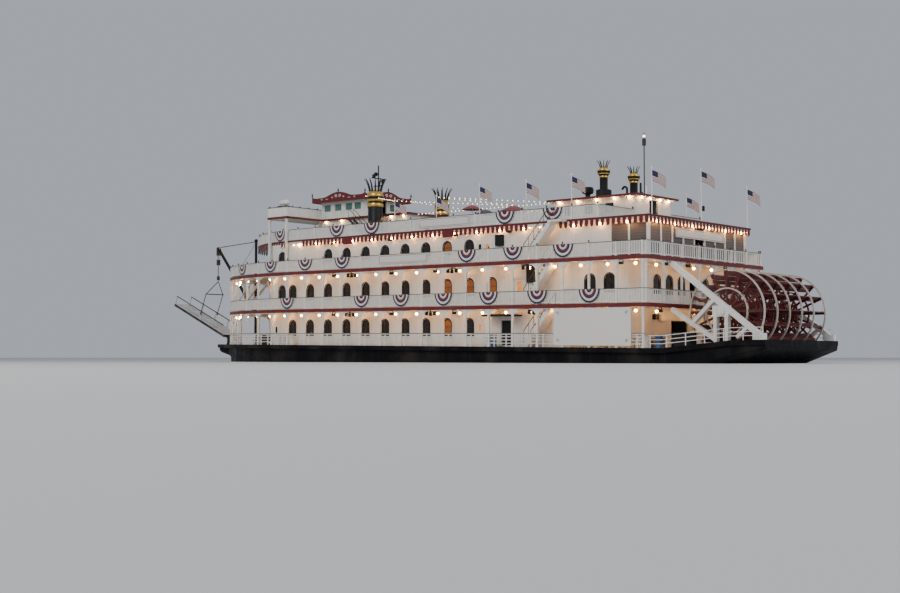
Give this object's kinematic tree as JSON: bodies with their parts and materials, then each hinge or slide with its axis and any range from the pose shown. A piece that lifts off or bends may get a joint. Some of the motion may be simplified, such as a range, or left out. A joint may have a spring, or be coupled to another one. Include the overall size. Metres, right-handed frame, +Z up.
{
  "type": "stern-wheel paddle steamer, scale model at 1:2",
  "caption": "White river steamer with galleried decks, tall crowned chimneys, a red stern paddle wheel, and a landing stage slung from a boom at the bow.",
  "frame": {"origin": "centre of the flat hull bottom amidships", "axes": "+X towards the stern wheel, +Y to starboard, +Z up"},
  "size_m": [37.4428, 8.5406, 10.3194],
  "materials": {
    "white_paint": "satin",
    "red_paint": "satin",
    "black_paint": "satin",
    "wheel_red": "matte",
    "dark_steel": "satin",
    "gold_trim": "satin",
    "window_glass": "gloss",
    "bunting_cloth": "matte",
    "flag_cloth": "matte",
    "deck_grey": "matte",
    "lamp_glass": "gloss",
    "canopy_cloth": "matte"
  },
  "bodies": {
    "root": {"hull": "black_paint", "deck_2": "red_paint", "deck_3": "red_paint", "deck_4": "red_paint", "main_wall_port": "white_paint", "main_wall_starboard": "white_paint", "main_wall_front": "white_paint", "main_wall_aft": "white_paint", "deck_2_wall_port": "white_paint", "deck_2_wall_starboard": "white_paint", "deck_2_wall_front": "white_paint", "deck_2_wall_aft": "white_paint", "deck_3_wall_port": "white_paint", "deck_3_wall_starboard": "white_paint", "deck_3_wall_front": "white_paint", "deck_3_wall_aft": "white_paint", "main_rail_port": "white_paint", "main_rail_starboard": "white_paint", "deck_2_rail_port": "white_paint", "deck_2_rail_starboard": "white_paint", "deck_3_rail_port": "white_paint", "deck_3_rail_starboard": "white_paint", "deck_4_rail_port": "white_paint", "deck_4_rail_starboard": "white_paint", "deck_2_rail_stern": "white_paint", "deck_3_rail_stern": "white_paint", "stair_1_port": "white_paint", "stair_1_starboard": "white_paint", "stair_2_port": "white_paint", "stair_2_starboard": "white_paint", "stair_3_port": "white_paint", "stair_3_starboard": "white_paint", "texas_walls": "white_paint", "pilothouse_walls": "white_paint", "bridge_deck": "white_paint", "pilothouse_roof": "red_paint", "aft_house_walls": "white_paint", "aft_house_roof": "red_paint", "fore_stack_port": "black_paint", "fore_stack_starboard": "black_paint", "aft_stack_port": "black_paint", "aft_stack_starboard": "black_paint", "fore_mast": "black_paint", "aft_antenna": "black_paint", "board_port": "white_paint", "door_shelter_port": "black_paint", "board_starboard": "white_paint", "door_shelter_starboard": "black_paint", "stern_truss_port": "white_paint", "stern_truss_starboard": "white_paint", "kingpost": "black_paint", "stage_saddle": "black_paint"},
    "wheel": {"paddle_wheel": "wheel_red"},
    "stage": {"landing_stage": "black_paint"},
    "bridle": {"stage_bridle": "dark_steel"},
    "boom": {"boom": "black_paint"},
    "fall": {"hoist_fall": "dark_steel"},
    "hook": {"hook_block": "dark_steel"}
  },
  "joints": [
    {"name": "wheel_spin", "type": "hinge", "parent": "root", "child": "wheel", "pos_m": [14.475, 0, 2.8], "axis": [0, 1, 0], "continuous": true},
    {"name": "stage_lift", "type": "hinge", "parent": "root", "child": "stage", "pos_m": [-16.625, 0, 2.175], "axis": [0, 1, 0], "range_deg": [-26, 0]},
    {"name": "bridle_level", "type": "hinge", "parent": "stage", "child": "bridle", "pos_m": [-18.72112, 0, 3.52954], "axis": [0, 1, 0], "range_deg": [0, 26]},
    {"name": "boom_luff", "type": "hinge", "parent": "root", "child": "boom", "pos_m": [-14.935, 0, 3.7], "axis": [0, 1, 0], "range_deg": [-7, 0]},
    {"name": "fall_level", "type": "hinge", "parent": "boom", "child": "fall", "pos_m": [-17.925, 0, 7.04], "axis": [0, 1, 0], "range_deg": [0, 7]},
    {"name": "hook_run", "type": "slide", "parent": "fall", "child": "hook", "axis": [0, 0, 1], "range_m": [-0.68, 0]}
  ],
  "couplings": [
    {"joint": "bridle_level", "follows": "stage_lift", "ratio": -1},
    {"joint": "boom_luff", "follows": "stage_lift", "ratio": 0.2666},
    {"joint": "fall_level", "follows": "stage_lift", "ratio": -0.2666},
    {"joint": "hook_run", "follows": "stage_lift", "m_per_rad": 1.479}
  ]
}
